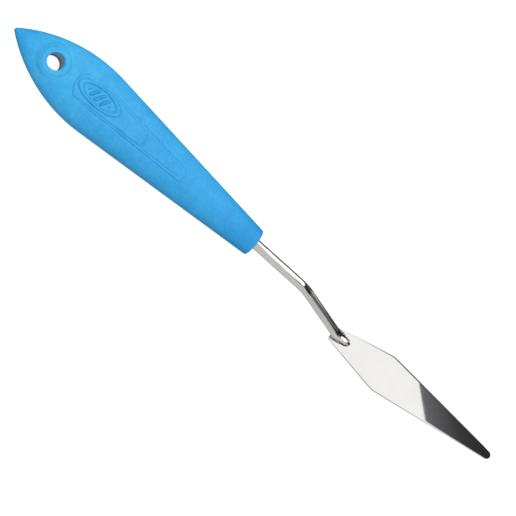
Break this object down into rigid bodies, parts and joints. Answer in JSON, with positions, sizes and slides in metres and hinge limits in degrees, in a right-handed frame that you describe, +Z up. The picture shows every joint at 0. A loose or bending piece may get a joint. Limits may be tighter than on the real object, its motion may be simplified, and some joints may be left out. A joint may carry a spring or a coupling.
{
  "type": "palette knife",
  "caption": "Cranked palette knife: a kite-shaped spring steel leaf welded to a bent round shank, in a tapered two-shot plastic handle with a hanging hole.",
  "frame": {"origin": "bottom centre of the bounding box, as the knife lies on a table", "axes": "+X from the handle's tail to the leaf's tip, +Z up from the table, +Y across the handle. The knife is symmetric about the XZ plane, apart from the foot's flat tongue and the two weld beads, which sit 0.3 mm to the left."},
  "size_m": [0.242, 0.025, 0.0273],
  "materials": {
    "grip_blue": "satin moulded plastic with a faint orange-peel texture",
    "core_grey": "plain moulded grey",
    "shank_steel": "polished rod with light draw lines",
    "leaf_steel": "mirror polished spring steel",
    "weld_metal": "rough weld, lightly polished"
  },
  "bodies": {
    "handle_and_shank": {"grip_skin": "grip_blue", "handle_core": "core_grey", "shank": "shank_steel", "weld_bead_left": "weld_metal", "weld_bead_right": "weld_metal"},
    "leaf": {"leaf_blade": "leaf_steel"}
  },
  "joints": [
    {"name": "leaf_flex", "type": "hinge", "parent": "handle_and_shank", "child": "leaf", "pos_m": [0.06398, 0, 0.00664], "axis": [0, -1, 0], "range_deg": [-25, 25], "stiffness_Nm_per_rad": 0.8, "deforming": ["leaf_blade"]}
  ]
}
